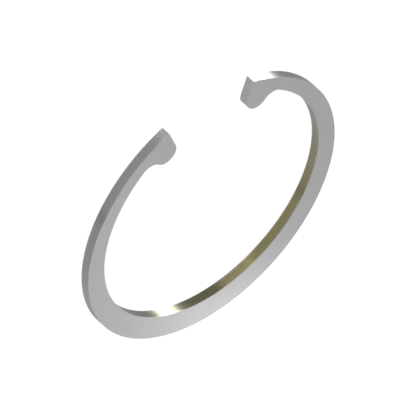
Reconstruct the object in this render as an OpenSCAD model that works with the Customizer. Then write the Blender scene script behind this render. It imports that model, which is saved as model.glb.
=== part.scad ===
// Internal circlip retaining ring, stamped from one strip of spring steel.
// It lies flat on z = 0, with its rim's axis on Z and its gap towards +Y.
// The rim is one true circle. The inner edge is a circle set off towards the gap,
// so the section tapers from its widest point, opposite the gap, to the two lugs.
// Each lug is a rounded tip that a hollow blends into the inner edge.

/* [Ring] */
// Outside diameter of the free ring, before it is squeezed into its bore
outer_dia = 50.5; // [48:0.1:54]
// Thickness of the strip
thickness = 1.75; // [1:0.05:2.5]
// Radial width of the section at its widest, opposite the gap
wide_section = 4.35; // [3.8:0.05:5]
// Radial width that the section tapers towards at the gap
narrow_section = 2.15; // [1.8:0.05:2.6]
// Width and height of the small break along every edge
edge_break = 0.1; // [0.05:0.01:0.2]

/* [Lugs] */
// Angle between the two end faces, seen from the rim's axis
gap_angle = 40.3; // [34:0.1:56]
// Radial depth of a lug, from the rim to its tip
lug_depth = 5.8; // [5.4:0.05:6.6]
// Radius of a lug's rounded tip
tip_r = 2.1; // [1.7:0.05:2.3]
// Radius of the hollow that blends a lug into the inner edge
hollow_r = 2.25; // [1.6:0.05:3.2]

/* [Hidden] */
$fn = 180;

// How far each curve of a lug laps over the next, so that they cross and don't just touch
lap = 0.0005;

outer_r = outer_dia / 2;
half_gap = gap_angle / 2;
// Along the right-hand end face, and square to it into the lug
end_dir = [sin(half_gap), cos(half_gap)];
end_normal = [cos(half_gap), -sin(half_gap)];

// The inner edge: its radius, and how far its centre is set off towards the gap
inner_r = outer_r - (wide_section + narrow_section) / 2;
inner_offset = (wide_section - narrow_section) / 2;

// The tip's circle reaches in to the lug's depth and touches the end face
tip_dist = outer_r - lug_depth + tip_r;
tip_turn = half_gap + asin((tip_r - lap) / tip_dist);
tip = tip_dist * [sin(tip_turn), cos(tip_turn)];

// The hollow's circle touches the inner edge from inside and the tip's circle from outside
hollow_dist = inner_r - hollow_r + lap;
inner_to_tip = tip - [0, inner_offset];
hollow_turn = atan2(inner_to_tip.x, inner_to_tip.y)
    + acos(
        (pow(norm(inner_to_tip), 2) + pow(hollow_dist, 2) - pow(tip_r + hollow_r - lap, 2))
        / (2 * norm(inner_to_tip) * hollow_dist)
    );
hollow_dir = [sin(hollow_turn), cos(hollow_turn)];
hollow = [0, inner_offset] + hollow_dist * hollow_dir;

module both_sides()
    for (side = [0, 1])
        mirror([side, 0, 0])
            children();

// A round blank with both of its edges broken
module blank(r)
    rotate_extrude()
        polygon([
            [0, 0],
            [r - edge_break, 0],
            [r, edge_break],
            [r, thickness - edge_break],
            [r - edge_break, thickness],
            [0, thickness]
        ]);

// Cuts a round opening and breaks both of its edges
module round_punch(r)
    rotate_extrude()
        polygon([
            [0, -edge_break],
            [r + 2 * edge_break, -edge_break],
            [r, edge_break],
            [r, thickness - edge_break],
            [r + 2 * edge_break, thickness + edge_break],
            [0, thickness + edge_break]
        ]);

// Cuts one side of the gap, down to the lug's depth, and breaks both edges of its end face
module gap_punch() {
    past_middle = outer_r * sin(half_gap) + tip_r;
    rotate([0, 0, -half_gap])
        translate([0, outer_dia, 0])
            rotate([90, 0, 0])
                linear_extrude(outer_r + lug_depth)
                    polygon([
                        [-past_middle, -edge_break],
                        [2 * edge_break, -edge_break],
                        [0, edge_break],
                        [0, thickness - edge_break],
                        [2 * edge_break, thickness + edge_break],
                        [-past_middle, thickness + edge_break]
                    ]);
}

// The lug's web: it runs from the tip into the ring's own section, and past the end face
module web() {
    mid_section = outer_r - narrow_section / 2;
    linear_extrude(thickness)
        polygon([
            tip,
            hollow,
            [0, inner_offset] + (inner_r + narrow_section / 2) * hollow_dir,
            mid_section * end_dir,
            mid_section * end_dir - tip_r * end_normal,
            tip - 2 * tip_r * end_normal
        ]);
}

module band()
    difference() {
        blank(outer_r);
        translate([0, inner_offset, 0])
            round_punch(inner_r);
        both_sides() gap_punch();
    }

module lug() {
    difference() {
        web();
        gap_punch();
        translate([hollow.x, hollow.y, 0])
            round_punch(hollow_r);
    }
    translate([tip.x, tip.y, 0])
        blank(tip_r);
}

module ring()
    color([0.70, 0.70, 0.70]) {
        band();
        both_sides() lug();
    }

ring();
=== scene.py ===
import math

import bpy
from mathutils import Matrix, Vector


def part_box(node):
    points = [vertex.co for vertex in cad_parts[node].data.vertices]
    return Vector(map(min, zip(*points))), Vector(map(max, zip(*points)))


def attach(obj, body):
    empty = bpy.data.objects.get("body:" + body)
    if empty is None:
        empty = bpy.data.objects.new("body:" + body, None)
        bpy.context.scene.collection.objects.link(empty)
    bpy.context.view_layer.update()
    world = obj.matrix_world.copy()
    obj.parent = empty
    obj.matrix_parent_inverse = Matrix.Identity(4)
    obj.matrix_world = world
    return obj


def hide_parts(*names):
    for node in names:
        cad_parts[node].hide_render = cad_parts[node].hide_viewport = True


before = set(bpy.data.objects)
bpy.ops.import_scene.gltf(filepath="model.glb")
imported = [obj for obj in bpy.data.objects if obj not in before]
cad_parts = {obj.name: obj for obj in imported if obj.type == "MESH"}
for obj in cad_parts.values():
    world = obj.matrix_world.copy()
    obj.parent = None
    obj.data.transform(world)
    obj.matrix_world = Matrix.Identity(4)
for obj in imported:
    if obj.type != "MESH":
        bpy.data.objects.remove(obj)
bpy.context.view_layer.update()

mm = 0.001


# sRGB hex to linear RGBA
def hexColour(code):
    parts = [int(code[i:i + 2], 16) / 255 for i in (1, 3, 5)]
    linear = [c / 12.92 if c <= 0.04045 else ((c + 0.055) / 1.055) ** 2.4 for c in parts]
    return (*linear, 1.0)


# adds a node: its settings, then its inputs, each a value or the socket that feeds it
def addNode(tree, kind, inputs=(), **settings):
    node = tree.nodes.new(kind)
    for name, value in settings.items():
        setattr(node, name, value)
    for key, value in dict(inputs).items():
        if isinstance(value, bpy.types.NodeSocket):
            tree.links.new(value, node.inputs[key])
        else:
            node.inputs[key].default_value = value
    return node


lowest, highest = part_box("ring")

# the sizes are the CAD's own, and the rim and the thickness are read off the frame
ring = {
    "rimRadius": -lowest.y,  # the rim is whole opposite the gap
    "thickness": highest.z - lowest.z,
    "wideSection": 4.35 * mm,
    "narrowSection": 2.15 * mm,
    "halfGap": math.radians(20.15),
    "lugDepth": 5.8 * mm,
    "lugTipRadius": 2.1 * mm,
    "hollowRadius": 2.25 * mm,

    # points along half of the rim or of the inner edge, and how many of them the short arcs get
    "arcPoints": 120,
    "tipShare": 0.25,
    "hollowShare": 0.2,
    "weldDistance": 0.01 * mm,  # points nearer than this become one
    "cornerAngle": math.radians(30),  # an edge that turns by more than this stays sharp
    "wallLean": 0.5,  # the upward part of a wall's normal stays under this
    "facetMargin": 0.03 * mm,  # how far off its circle a wall's facet may lie

    # the four finishes of the steel, with the sizes of their marks; the lug edge, rim and inner edge
    # colours are darker than the faces', partly for their duller sheared steel and partly as painted
    # shade
    "face": {
        "light": "#a6a6a6", "dark": "#9e9e9e", "roughness": (0.56, 0.64), "relief": 0.004 * mm,
        "grainWidth": 0.25 * mm, "cloudWidth": 4 * mm,
        "rollingWidth": 0.4 * mm, "rollingLength": 25 * mm, "rollingShare": 0.5},
    "lugEdge": {
        "light": "#888888", "dark": "#7c7c7c", "roughness": (0.54, 0.64), "relief": 0.004 * mm,
        "markWidth": 0.25 * mm, "markLength": 3 * mm},
    "rim": {
        "light": "#6e6e6e", "dark": "#656565", "roughness": (0.31, 0.35), "relief": 0.002 * mm,
        "lineWidth": 0.25 * mm, "lineLength": 12 * mm, "tint": None},
    "innerEdge": {
        "light": "#6c6c6c", "dark": "#636363", "roughness": (0.31, 0.35), "relief": 0.002 * mm,
        # the inner edge's straw colour is a painted warm reflection
        "lineWidth": 0.25 * mm, "lineLength": 12 * mm, "tint": "#f3eaac"},
    # where the inner edge's painted warm reflection, a straw colour, is strongest, as a turn about the
    # rim's axis
    "tintMiddle": math.radians(-60),
    # how far in from the faces tumbling wore the walls, how unevenly, how much and to what colour
    "wear": {"width": 0.25 * mm, "patch": 1.5 * mm, "share": 0.5, "colour": "#8c8c8c"},
}
print("ring: rim radius", ring["rimRadius"], "thickness", ring["thickness"])


# a new material, its tree, and the place on the piece that its patterns are drawn by
def newMaterial(name):
    material = bpy.data.materials.new(name)
    material.use_nodes = True
    tree = material.node_tree
    return material, tree, addNode(tree, "ShaderNodeTexCoord").outputs["Object"]


# marks that run one way: a noise that is drawn out along each axis with a squeeze under 1
def runningMarks(tree, place, width, squeeze):
    drawnOut = addNode(tree, "ShaderNodeMapping", {"Vector": place, "Scale": squeeze})
    return addNode(tree, "ShaderNodeTexNoise", {
        "Vector": drawnOut.outputs[0], "Scale": 1 / width, "Detail": 2.0}).outputs["Fac"]


# bare steel of one colour, whose shine and relief follow its marks
def bareSteel(tree, look, colour, marks):
    shader = tree.nodes["Principled BSDF"]
    shader.inputs["Metallic"].default_value = 1.0
    tree.links.new(colour, shader.inputs["Base Color"])
    gloss = addNode(tree, "ShaderNodeMapRange", {
        "Value": marks, "To Min": look["roughness"][0], "To Max": look["roughness"][1]})
    tree.links.new(gloss.outputs[0], shader.inputs["Roughness"])
    relief = addNode(tree, "ShaderNodeBump", {"Height": marks, "Distance": look["relief"]})
    tree.links.new(relief.outputs[0], shader.inputs["Normal"])
    return shader


# cold-rolled spring steel strip, tumbled after stamping: an even satin grey, with faint rolling lines
# and a fine grain, both drawn coarser than the real ones so that they show at all
def tumbledSteelFace():
    look = ring["face"]
    material, tree, place = newMaterial("tumbledSteelFace")
    clouds = addNode(tree, "ShaderNodeTexNoise", {
        "Vector": place, "Scale": 1 / look["cloudWidth"], "Detail": 3.0})
    squeeze = look["rollingWidth"] / look["rollingLength"]
    rolling = runningMarks(tree, place, look["rollingWidth"], (squeeze, 1, 1))
    marks = addNode(tree, "ShaderNodeMix", {
        "Factor": look["rollingShare"], "A": clouds.outputs["Fac"], "B": rolling})
    tone = addNode(tree, "ShaderNodeMix", {
        "Factor": marks.outputs["Result"],
        "A": hexColour(look["dark"]),
        "B": hexColour(look["light"]),
    }, data_type="RGBA")
    grain = addNode(tree, "ShaderNodeTexNoise", {
        "Vector": place, "Scale": 1 / look["grainWidth"], "Detail": 2.0})
    bareSteel(tree, look, tone.outputs["Result"], grain.outputs["Fac"])
    return material


# bare metal that tumbling polished along the corners: it fades into the wall, and comes and goes
def wornCorners(tree, place, colour):
    wear = ring["wear"]
    middle = ring["thickness"] / 2
    height = addNode(tree, "ShaderNodeSeparateXYZ", {0: place}).outputs["Z"]
    offset = addNode(tree, "ShaderNodeMath", {0: height, 1: middle}, operation="SUBTRACT")
    fromMiddle = addNode(tree, "ShaderNodeMath", {0: offset.outputs[0]}, operation="ABSOLUTE")
    patches = addNode(tree, "ShaderNodeTexNoise", {"Vector": place, "Scale": 1 / wear["patch"]})
    # the noise is a half on average
    share = addNode(tree, "ShaderNodeMath", {
        0: patches.outputs["Fac"], 1: 2 * wear["share"]}, operation="MULTIPLY")
    worn = addNode(tree, "ShaderNodeMapRange", {
        "Value": fromMiddle.outputs[0],
        "From Min": middle - wear["width"],
        "From Max": middle,
        "To Max": share.outputs[0],
    })
    return addNode(tree, "ShaderNodeMix", {
        "Factor": worn.outputs[0],
        "A": colour,
        "B": hexColour(wear["colour"]),
    }, data_type="RGBA").outputs["Result"]


# spring steel as the blanking tool sheared it round the lugs: duller than the faces and darker, partly
# for the sheared steel and partly as painted shade, with fine upright marks where the punch slid past
def shearedAndShadedLugEdge():
    look = ring["lugEdge"]
    material, tree, place = newMaterial("shearedAndShadedLugEdge")
    squeeze = look["markWidth"] / look["markLength"]
    marks = runningMarks(tree, place, look["markWidth"], (1, 1, squeeze))
    tone = addNode(tree, "ShaderNodeMix", {
        "Factor": marks,
        "A": hexColour(look["dark"]),
        "B": hexColour(look["light"]),
    }, data_type="RGBA")
    bareSteel(tree, look, wornCorners(tree, place, tone.outputs["Result"]), marks)
    return material


# a blanked edge that tumbling brushed along its length: fine lines run round it, so that its shine
# stretches across the strip; its colours are darker than the faces', partly for the duller blanked steel
# and partly as painted shade, and the inner edge also gets a straw colour as a painted warm reflection,
# which fades to the sides
def brushedAndShadedEdge(name, look):
    material, tree, place = newMaterial(name)
    squeeze = look["lineWidth"] / look["lineLength"]
    lines = runningMarks(tree, place, look["lineWidth"], (squeeze, squeeze, 1))
    colour = addNode(tree, "ShaderNodeMix", {
        "Factor": lines,
        "A": hexColour(look["dark"]),
        "B": hexColour(look["light"]),
    }, data_type="RGBA").outputs["Result"]
    # painted warm reflection: a straw colour is multiplied in, growing towards one side of the inner
    # edge
    if look["tint"]:
        middle = (math.cos(ring["tintMiddle"]), math.sin(ring["tintMiddle"]), 0)
        towards = addNode(tree, "ShaderNodeVectorMath", {0: place, 1: middle}, operation="DOT_PRODUCT")
        share = addNode(tree, "ShaderNodeMapRange", {
            "Value": towards.outputs["Value"], "From Max": ring["rimRadius"] - ring["wideSection"]})
        colour = addNode(tree, "ShaderNodeMix", {
            "Factor": share.outputs[0],
            "A": colour,
            "B": hexColour(look["tint"]),
        }, data_type="RGBA", blend_type="MULTIPLY").outputs["Result"]
    shader = bareSteel(tree, look, wornCorners(tree, place, colour), lines)
    roundAxis = addNode(tree, "ShaderNodeTangent", direction_type="RADIAL", axis="Z")
    tree.links.new(roundAxis.outputs[0], shader.inputs["Tangent"])
    shader.inputs["Anisotropic"].default_value = 1.0
    shader.inputs["Anisotropic Rotation"].default_value = 0.25  # square to the lines
    return material


# an arc about a centre from one point to another, less than half a turn
def arcGroup():
    tree = bpy.data.node_groups.new("arcAboutCentre", "GeometryNodeTree")
    for name in ("Centre", "Start", "End"):
        tree.interface.new_socket(name, in_out="INPUT", socket_type="NodeSocketVector")
    tree.interface.new_socket("Points", in_out="INPUT", socket_type="NodeSocketInt")
    tree.interface.new_socket("Curve", in_out="OUTPUT", socket_type="NodeSocketGeometry")
    given = tree.nodes.new("NodeGroupInput").outputs
    firstSpoke = addNode(tree, "ShaderNodeVectorMath", {
        0: given["Start"], 1: given["Centre"]}, operation="SUBTRACT")
    lastSpoke = addNode(tree, "ShaderNodeVectorMath", {
        0: given["End"], 1: given["Centre"]}, operation="SUBTRACT")
    radius = addNode(tree, "ShaderNodeVectorMath", {0: firstSpoke.outputs[0]}, operation="LENGTH")
    between = addNode(tree, "ShaderNodeVectorMath", {
        0: firstSpoke.outputs[0], 1: lastSpoke.outputs[0]}, operation="ADD")
    halfway = addNode(tree, "ShaderNodeVectorMath", {0: between.outputs[0]}, operation="NORMALIZE")
    middle = addNode(tree, "ShaderNodeVectorMath", {
        0: halfway.outputs[0], 1: radius.outputs["Value"], 2: given["Centre"]}, operation="MULTIPLY_ADD")
    arc = addNode(tree, "GeometryNodeCurveArc", {
        "Resolution": given["Points"],
        "Start": given["Start"],
        "Middle": middle.outputs[0],
        "End": given["End"],
    }, mode="POINTS")
    addNode(tree, "NodeGroupOutput", {"Curve": arc.outputs["Curve"]})
    return tree


# the inner edge's circle, and the centres of the right lug's two circles, from the ring's sizes
def circleCentres():
    tipDistance = ring["rimRadius"] - ring["lugDepth"] + ring["lugTipRadius"]
    tipTurn = ring["halfGap"] + math.asin(ring["lugTipRadius"] / tipDistance)
    tip = tipDistance * Vector((math.sin(tipTurn), math.cos(tipTurn), 0))
    innerCentre = Vector((0, (ring["wideSection"] - ring["narrowSection"]) / 2, 0))
    innerRadius = ring["rimRadius"] - (ring["wideSection"] + ring["narrowSection"]) / 2
    # the hollow touches the inner edge from inside and the tip from outside
    reach = innerRadius - ring["hollowRadius"]
    toTip = tip - innerCentre
    along = toTip.length_squared + reach ** 2 - (ring["lugTipRadius"] + ring["hollowRadius"]) ** 2
    along /= 2 * toTip.length
    aside = math.sqrt(reach ** 2 - along ** 2)
    ahead = toTip.normalized()
    hollow = innerCentre + along * ahead + aside * Vector((ahead.y, -ahead.x, 0))
    return tip, hollow, innerCentre, innerRadius


# the right half of the outline: rim, end face, tip, hollow and inner edge
def halfOutline(tree, given):
    sine = addNode(tree, "ShaderNodeMath", {0: given["Half gap"]}, operation="SINE")
    cosine = addNode(tree, "ShaderNodeMath", {0: given["Half gap"]}, operation="COSINE")
    endDir = addNode(tree, "ShaderNodeCombineXYZ", {"X": sine.outputs[0], "Y": cosine.outputs[0]})
    lugCorner = addNode(tree, "ShaderNodeVectorMath", {
        0: endDir.outputs[0], "Scale": given["Rim radius"]}, operation="SCALE")
    tipFoot = addNode(tree, "ShaderNodeVectorMath", {
        0: given["Tip centre"], 1: endDir.outputs[0]}, operation="PROJECT")

    # where the hollow meets the tip, and where it meets the inner edge
    meets = []
    for centre, radius in (("Tip centre", "Tip radius"), ("Inner centre", "Inner radius")):
        apart = addNode(tree, "ShaderNodeVectorMath", {
            0: given["Hollow centre"], 1: given[centre]}, operation="SUBTRACT")
        ahead = addNode(tree, "ShaderNodeVectorMath", {0: apart.outputs[0]}, operation="NORMALIZE")
        meets.append(addNode(tree, "ShaderNodeVectorMath", {
            0: ahead.outputs[0], 1: given[radius], 2: given[centre]}, operation="MULTIPLY_ADD"))
    tipMeetsHollow, hollowMeetsEdge = meets

    # both edges opposite the gap, where the section is widest
    rimBack = addNode(tree, "ShaderNodeVectorMath", {
        0: (0, -1, 0), "Scale": given["Rim radius"]}, operation="SCALE")
    edgeBack = addNode(tree, "ShaderNodeVectorMath", {
        0: (0, -1, 0), 1: given["Inner radius"], 2: given["Inner centre"]}, operation="MULTIPLY_ADD")

    arcAbout = arcGroup()
    outline = tree.nodes.new("GeometryNodeJoinGeometry")
    arcs = (
        ((0, 0, 0), rimBack, lugCorner, 1.0),
        (given["Tip centre"], tipFoot, tipMeetsHollow, ring["tipShare"]),
        (given["Hollow centre"], tipMeetsHollow, hollowMeetsEdge, ring["hollowShare"]),
        (given["Inner centre"], hollowMeetsEdge, edgeBack, 1.0),
    )
    for centre, start, end, share in arcs:
        points = addNode(tree, "ShaderNodeMath", {
            0: given["Arc points"], 1: share}, operation="MULTIPLY")
        arc = addNode(tree, "GeometryNodeGroup", {
            "Centre": centre,
            "Start": start.outputs[0],
            "End": end.outputs[0],
            "Points": points.outputs[0],
        }, node_tree=arcAbout)
        tree.links.new(arc.outputs["Curve"], outline.inputs[0])
    endLine = addNode(tree, "GeometryNodeCurvePrimitiveLine", {
        "Start": lugCorner.outputs[0], "End": tipFoot.outputs[0]})
    tree.links.new(endLine.outputs["Curve"], outline.inputs[0])
    return outline.outputs[0]


# both halves joined into one closed line, filled and raised to the ring's thickness
def stampedBlank(tree, given, outline):
    mirrored = addNode(tree, "GeometryNodeTransform", {"Geometry": outline, "Scale": (-1, 1, 1)})
    halves = tree.nodes.new("GeometryNodeJoinGeometry")
    tree.links.new(outline, halves.inputs[0])
    tree.links.new(mirrored.outputs[0], halves.inputs[0])
    edges = addNode(tree, "GeometryNodeCurveToMesh", {"Curve": halves.outputs[0]})
    welded = addNode(tree, "GeometryNodeMergeByDistance", {
        "Geometry": edges.outputs[0], "Distance": ring["weldDistance"]})
    line = addNode(tree, "GeometryNodeMeshToCurve", {"Mesh": welded.outputs[0]})
    lowerFace = addNode(tree, "GeometryNodeFillCurve", {"Curve": line.outputs[0]}, mode="NGONS")
    raised = addNode(tree, "GeometryNodeExtrudeMesh", {
        "Mesh": lowerFace.outputs[0],
        "Offset": (0, 0, 1),
        "Offset Scale": given["Thickness"],
        "Individual": False,
    })
    # the lower face is turned over, so that it closes the solid
    underside = addNode(tree, "GeometryNodeFlipFaces", {"Mesh": lowerFace.outputs[0]})
    shell = tree.nodes.new("GeometryNodeJoinGeometry")
    tree.links.new(raised.outputs["Mesh"], shell.inputs[0])
    tree.links.new(underside.outputs[0], shell.inputs[0])
    solid = addNode(tree, "GeometryNodeMergeByDistance", {
        "Geometry": shell.outputs[0], "Distance": ring["weldDistance"]})
    return solid.outputs[0]


# the arcs are shaded smooth, and every real corner stays sharp
def crispCorners(tree, solid):
    turn = addNode(tree, "GeometryNodeInputMeshEdgeAngle")
    isCorner = addNode(tree, "FunctionNodeCompare", {
        "A": turn.outputs["Unsigned Angle"], "B": ring["cornerAngle"]}, operation="GREATER_THAN")
    smooth = addNode(tree, "GeometryNodeSetShadeSmooth", {
        "Geometry": solid, "Shade Smooth": True}, domain="FACE")
    sharp = addNode(tree, "GeometryNodeSetShadeSmooth", {
        "Geometry": smooth.outputs[0],
        "Selection": isCorner.outputs[0],
        "Shade Smooth": False,
    }, domain="EDGE")
    return sharp.outputs[0]


# which faces are walls, which of these are the rim, and which the inner edge: each of the last two
# lies on its own circle
def wallFaces(tree, given):
    normal = addNode(tree, "GeometryNodeInputNormal")
    normalParts = addNode(tree, "ShaderNodeSeparateXYZ", {0: normal.outputs[0]})
    lean = addNode(tree, "ShaderNodeMath", {0: normalParts.outputs["Z"]}, operation="ABSOLUTE")
    isWall = addNode(tree, "FunctionNodeCompare", {
        "A": lean.outputs[0], "B": ring["wallLean"]}, operation="LESS_THAN").outputs[0]
    place = addNode(tree, "GeometryNodeInputPosition")
    circles = (
        ((0, 0, 0), given["Rim radius"]),
        (given["Inner centre"], given["Inner radius"]),
    )
    chosen = [isWall]
    for centre, radius in circles:
        spoke = addNode(tree, "ShaderNodeVectorMath", {
            0: place.outputs[0], 1: centre}, operation="SUBTRACT")
        level = addNode(tree, "ShaderNodeVectorMath", {
            0: spoke.outputs[0], 1: (1, 1, 0)}, operation="MULTIPLY")
        distance = addNode(tree, "ShaderNodeVectorMath", {0: level.outputs[0]}, operation="LENGTH")
        onCircle = addNode(tree, "FunctionNodeCompare", {
            "A": distance.outputs["Value"],
            "B": radius,
            "Epsilon": ring["facetMargin"],
        }, operation="EQUAL")
        chosen.append(addNode(tree, "FunctionNodeBooleanMath", {
            0: isWall, 1: onCircle.outputs[0]}, operation="AND").outputs[0])
    return chosen


# the whole tree: the first finish goes on every face, and each later one over its own walls
def ringTree(finishes):
    tree = bpy.data.node_groups.new("circlipRing", "GeometryNodeTree")
    tree.is_modifier = True
    inputKinds = {
        "Rim radius": "NodeSocketFloat",
        "Inner centre": "NodeSocketVector",
        "Inner radius": "NodeSocketFloat",
        "Tip centre": "NodeSocketVector",
        "Tip radius": "NodeSocketFloat",
        "Hollow centre": "NodeSocketVector",
        "Half gap": "NodeSocketFloat",
        "Thickness": "NodeSocketFloat",
        "Arc points": "NodeSocketInt",
    }
    for name, kind in inputKinds.items():
        tree.interface.new_socket(name, in_out="INPUT", socket_type=kind)
    tree.interface.new_socket("Geometry", in_out="OUTPUT", socket_type="NodeSocketGeometry")
    given = tree.nodes.new("NodeGroupInput").outputs
    solid = stampedBlank(tree, given, halfOutline(tree, given))
    last = addNode(tree, "GeometryNodeRealizeInstances", {"Geometry": crispCorners(tree, solid)})
    for material, faces in zip(finishes, [True] + wallFaces(tree, given)):
        last = addNode(tree, "GeometryNodeSetMaterial", {
            "Geometry": last.outputs[0], "Selection": faces, "Material": material})
    addNode(tree, "NodeGroupOutput", {"Geometry": last.outputs[0]})
    return tree


def makeRing():
    tip, hollow, innerCentre, innerRadius = circleCentres()
    values = {
        "Rim radius": ring["rimRadius"],
        "Inner centre": innerCentre,
        "Inner radius": innerRadius,
        "Tip centre": tip,
        "Tip radius": ring["lugTipRadius"],
        "Hollow centre": hollow,
        "Half gap": ring["halfGap"],
        "Thickness": ring["thickness"],
        "Arc points": ring["arcPoints"],
    }
    finishes = (
        tumbledSteelFace(),
        shearedAndShadedLugEdge(),
        brushedAndShadedEdge("blankedAndShadedRim", ring["rim"]),
        brushedAndShadedEdge("innerEdgeShadeAndWarmReflection", ring["innerEdge"]),
    )
    base = bpy.data.objects.new("ringSource", bpy.data.meshes.new("ringSource"))
    bpy.context.scene.collection.objects.link(base)
    shaper = base.modifiers.new("shape", "NODES")
    shaper.node_group = ringTree(finishes)
    for socket in shaper.node_group.interface.items_tree:
        if socket.in_out == "INPUT":
            shaper[socket.identifier] = values[socket.name]
    made = bpy.data.meshes.new_from_object(base.evaluated_get(bpy.context.evaluated_depsgraph_get()))
    made.name = "circlip"
    if made.materials[0] is None:  # the tree leaves an empty slot ahead of the finishes
        made.materials.pop(index=0)
    bpy.data.objects.remove(base)

    piece = bpy.data.objects.new("circlip", made)
    bpy.context.scene.collection.objects.link(piece)
    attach(piece, "root")
    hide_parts("ring")
    print("ring:", len(made.polygons), "faces,", len(made.materials), "materials")


makeRing()


# floor and room
studio = {
    "floorSize": 3.0,
    "floorDrop": 0.01 * mm,  # below the ring, so that the two never share a plane
    "floorColour": "#fafafa",
    "floorGlow": 0.85,
    "roomColour": "#ffffff",
    "roomStrength": 0.67,
}

# each lamp: which way it lies from the point it faces, how far off, its size and how bright it is
lamps = {
    "backSoftbox": {
        "azimuth": -62.0, "height": 18.5, "aim": (0, -27 * mm), "distance": 47 * mm,
        "size": (15 * mm, 15 * mm), "radiance": 10.9},
    "rightStrip": {
        "azimuth": 22.8, "height": 6.0, "aim": (0, 0), "distance": 600 * mm,
        "size": (170 * mm, 100 * mm), "radiance": 290.0},
    "gapStrip": {
        "azimuth": 92.5, "height": 6.0, "aim": (0, 0), "distance": 600 * mm,
        "size": (355 * mm, 100 * mm), "radiance": 20.0},
    "leftStrip": {
        "azimuth": 138.5, "height": 16.0, "aim": (0, 0), "distance": 600 * mm,
        "size": (825 * mm, 320 * mm), "radiance": 5.6},
    "farLeftStrip": {
        "azimuth": 215.0, "height": 16.0, "aim": (0, 0), "distance": 600 * mm,
        "size": (890 * mm, 320 * mm), "radiance": 5.8},
}

# the photograph's view, looking down on the face with the gap up and to the left
camera = {
    "right": (0.7703, 0.0017, 0.6378),
    "up": (0.4744, 0.6669, -0.5747),
    "aimRight": -0.5683 * mm,
    "aimUp": -0.0066 * mm,
    "width": 65.71 * mm,
    "distance": 0.4,
    "nearest": 0.01,
    "farthest": 10.0,
}


# paper that the camera and mirrored rays see nearly white, and that still takes a shadow
def palePaper():
    material = bpy.data.materials.new("palePaperFloor")
    material.use_nodes = True
    tree = material.node_tree
    tree.nodes.clear()
    paper = addNode(tree, "ShaderNodeBsdfDiffuse", {"Color": hexColour(studio["floorColour"])})
    white = addNode(tree, "ShaderNodeEmission", {"Strength": 1.0})
    ray = addNode(tree, "ShaderNodeLightPath").outputs
    direct = addNode(tree, "ShaderNodeMath", {
        0: ray["Is Camera Ray"], 1: ray["Is Glossy Ray"]}, operation="MAXIMUM")
    seen = addNode(tree, "ShaderNodeMath", {
        0: direct.outputs[0], 1: ray["Is Transmission Ray"]}, operation="MAXIMUM")
    share = addNode(tree, "ShaderNodeMath", {
        0: seen.outputs[0], 1: studio["floorGlow"]}, operation="MULTIPLY")
    mix = addNode(tree, "ShaderNodeMixShader", {
        0: share.outputs[0], 1: paper.outputs[0], 2: white.outputs[0]})
    addNode(tree, "ShaderNodeOutputMaterial", {"Surface": mix.outputs[0]})
    return material


def makeFloor():
    half, low = studio["floorSize"] / 2, -studio["floorDrop"]
    corners = [(-half, -half, low), (half, -half, low), (half, half, low), (-half, half, low)]
    sheet = bpy.data.meshes.new("floor")
    sheet.from_pydata(corners, [], [(0, 1, 2, 3)])
    sheet.materials.append(palePaper())
    floor = bpy.data.objects.new("floor", sheet)
    bpy.context.scene.collection.objects.link(floor)


# soft light from all round, which the camera itself sees as white
def makeRoom():
    world = bpy.data.worlds.new("studio")
    world.use_nodes = True
    tree = world.node_tree
    tree.nodes.clear()
    ray = addNode(tree, "ShaderNodeLightPath").outputs
    plain = addNode(tree, "ShaderNodeBackground", {
        "Color": hexColour(studio["roomColour"]), "Strength": studio["roomStrength"]})
    white = addNode(tree, "ShaderNodeBackground", {"Color": (1, 1, 1, 1), "Strength": 1.0})
    mix = addNode(tree, "ShaderNodeMixShader", {
        0: ray["Is Camera Ray"], 1: plain.outputs[0], 2: white.outputs[0]})
    addNode(tree, "ShaderNodeOutputWorld", {"Surface": mix.outputs[0]})
    bpy.context.scene.world = world


def makeLamps():
    for name, lamp in lamps.items():
        turn, tilt = math.radians(lamp["azimuth"]), math.radians(lamp["height"])
        away = Vector((math.cos(turn) * math.cos(tilt), math.sin(turn) * math.cos(tilt), math.sin(tilt)))
        light = bpy.data.lights.new(name, "AREA")
        light.shape = "RECTANGLE"
        light.size, light.size_y = lamp["size"]
        light.energy = lamp["radiance"] * math.pi * light.size * light.size_y  # in watts
        box = bpy.data.objects.new(name, light)
        bpy.context.scene.collection.objects.link(box)
        box.location = Vector((*lamp["aim"], ring["thickness"])) + lamp["distance"] * away
        box.rotation_euler = away.to_track_quat("Z", "Y").to_euler()
        box.visible_camera = False


def makeCamera():
    right = Vector(camera["right"]).normalized()
    back = right.cross(Vector(camera["up"])).normalized()
    up = back.cross(right)
    aim = Vector((0, 0, ring["thickness"])) + camera["aimRight"] * right + camera["aimUp"] * up
    lens = bpy.data.cameras.new("camera")
    lens.type = "ORTHO"
    lens.ortho_scale = camera["width"]
    lens.clip_start = camera["nearest"]
    lens.clip_end = camera["farthest"]
    eye = bpy.data.objects.new("camera", lens)
    bpy.context.scene.collection.objects.link(eye)
    turned = Matrix((right, up, back)).transposed().to_4x4()
    eye.matrix_world = Matrix.Translation(aim + camera["distance"] * back) @ turned
    bpy.context.scene.camera = eye


makeFloor()
makeRoom()
makeLamps()
makeCamera()
bpy.context.scene.view_settings.view_transform = "Standard"
print("stage: floor, room,", len(lamps), "lamps and camera")
